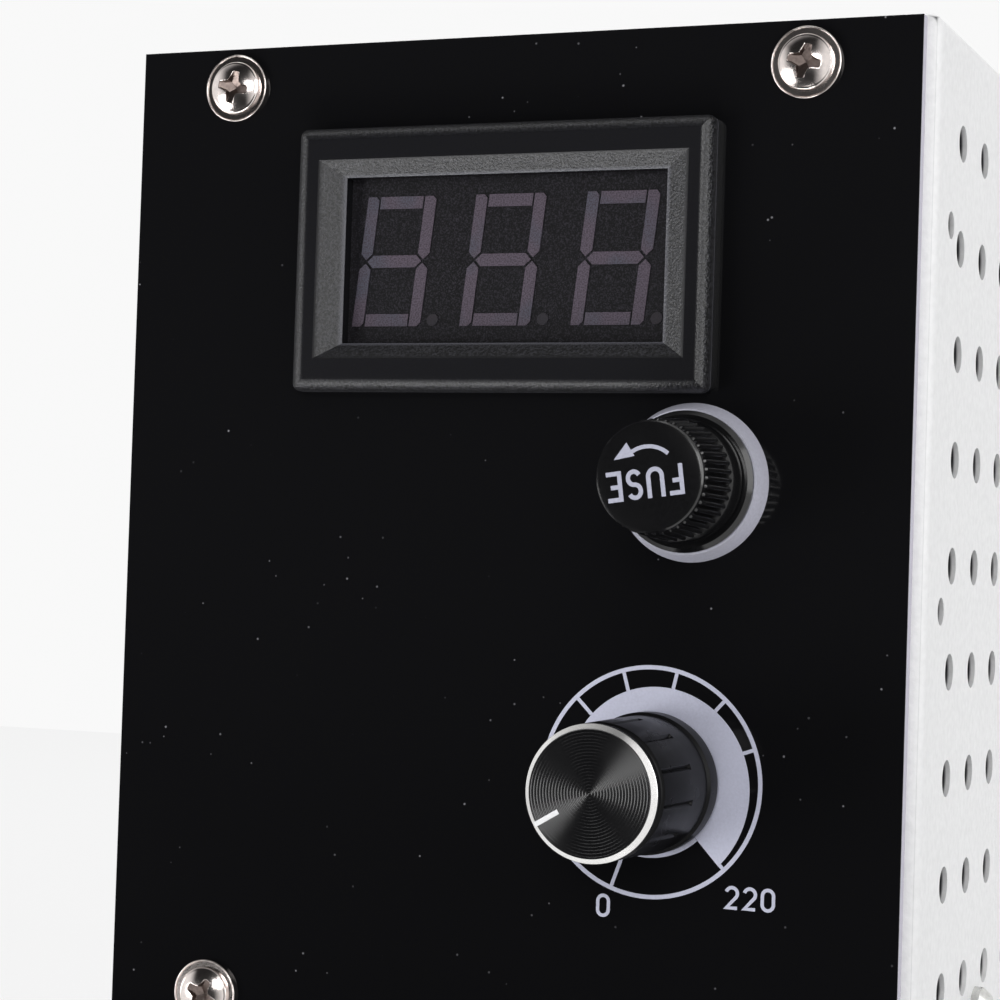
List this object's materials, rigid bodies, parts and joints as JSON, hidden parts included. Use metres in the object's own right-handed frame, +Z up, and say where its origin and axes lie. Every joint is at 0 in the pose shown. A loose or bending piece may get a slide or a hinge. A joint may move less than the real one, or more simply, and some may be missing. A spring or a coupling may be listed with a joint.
{
  "type": "reflow heater",
  "caption": "Compact benchtop reflow heater: perforated steel case, black control panel with meter, fuse holder and rotary power knob, heated plate on top.",
  "frame": {"origin": "centre of the object's box, on the bench surface", "axes": "+Z up, the control panel faces -Y, +X to the right as seen from the front"},
  "size_m": [0.0968, 0.1492, 0.124],
  "materials": {
    "powder_coat": "textured white powder coat",
    "gloss_acrylic": "gloss black sheet",
    "nickel_screw": "bright nickel",
    "zinc_fastener": "zinc plated",
    "washer_nylon": "pale grey nylon",
    "foot_rubber": "matt black",
    "meter_abs": "fine texture, black",
    "display_epoxy": "dark grey",
    "segment_epoxy": "unlit pale mauve",
    "circuit_board": "green solder mask",
    "black_phenolic": "black moulding",
    "black_nylon": "black moulding",
    "terminal_brass": "tinned brass",
    "fuse_glass": "clear",
    "fuse_end": "nickel plated",
    "black_aluminium": "black anodised, bright cut bevel",
    "core_plastic": "black",
    "control_steel": "plated steel",
    "plate_aluminium": "milled",
    "heater_steel": "drawn tube",
    "post_ceramic": "white ceramic",
    "fibre_board": "pressed ceramic fibre",
    "zinc_sheet": "galvanised",
    "brown_phenolic": "brown moulding",
    "board_nylon": "natural nylon",
    "chip_epoxy": "black epoxy",
    "film_box": "ochre box",
    "terminal_green": "green"
  },
  "bodies": {
    "case": {"shell": "powder_coat", "base_tray": "powder_coat", "rear_panel": "powder_coat", "front_panel": "gloss_acrylic", "panel_screws": "nickel_screw", "panel_nuts": "zinc_fastener", "base_screws": "zinc_fastener", "rear_screws": "zinc_fastener", "rubber_feet": "foot_rubber", "foot_screws": "zinc_fastener", "meter_housing": "meter_abs", "meter_display": "display_epoxy", "display_segments": "segment_epoxy", "meter_board": "circuit_board", "fuse_holder": "black_phenolic", "fuse_washer": "washer_nylon", "fuse_holder_nut": "black_phenolic", "fuse_terminals": "terminal_brass", "pot_body": "control_steel", "pot_nut": "control_steel", "pot_terminals": "terminal_brass", "hot_plate": "plate_aluminium", "heater_cartridges": "heater_steel", "plate_standoffs": "post_ceramic", "insulation_board": "fibre_board", "heater_bridge": "zinc_sheet", "bridge_screws": "zinc_fastener", "thermal_cutout": "brown_phenolic", "control_board": "circuit_board", "board_posts": "board_nylon", "triac_heatsink": "plate_aluminium", "triac": "chip_epoxy", "filter_capacitor": "film_box", "terminal_block": "terminal_green", "mains_inlet": "black_nylon", "inlet_pins": "terminal_brass", "inlet_screws": "zinc_fastener", "rocker_frame": "black_nylon"},
    "dial_knob": {"knob_shell": "black_aluminium", "knob_core": "core_plastic", "pot_shaft": "control_steel"},
    "fuse_link": {"fuse_glass": "fuse_glass", "fuse_end_caps": "fuse_end"},
    "fuse_cap": {"fuse_cap": "black_phenolic"},
    "power_rocker": {"power_rocker": "black_nylon"}
  },
  "joints": [
    {"name": "dial_turn", "type": "hinge", "parent": "case", "child": "dial_knob", "pos_m": [0.01855, -0.05565, 0.0398], "axis": [0, 1, 0], "range_deg": [-39, 258]},
    {"name": "fuse_pull", "type": "slide", "parent": "case", "child": "fuse_link", "axis": [0, -1, 0], "range_m": [0, 0.034]},
    {"name": "fuse_cap_turn", "type": "hinge", "parent": "fuse_link", "child": "fuse_cap", "pos_m": [0.02195, -0.05565, 0.0712], "axis": [0, -1, 0], "range_deg": [0, 60]},
    {"name": "power_switch", "type": "hinge", "parent": "case", "child": "power_rocker", "pos_m": [0, 0.06925, 0.07], "axis": [1, 0, 0], "range_deg": [0, 14]}
  ]
}
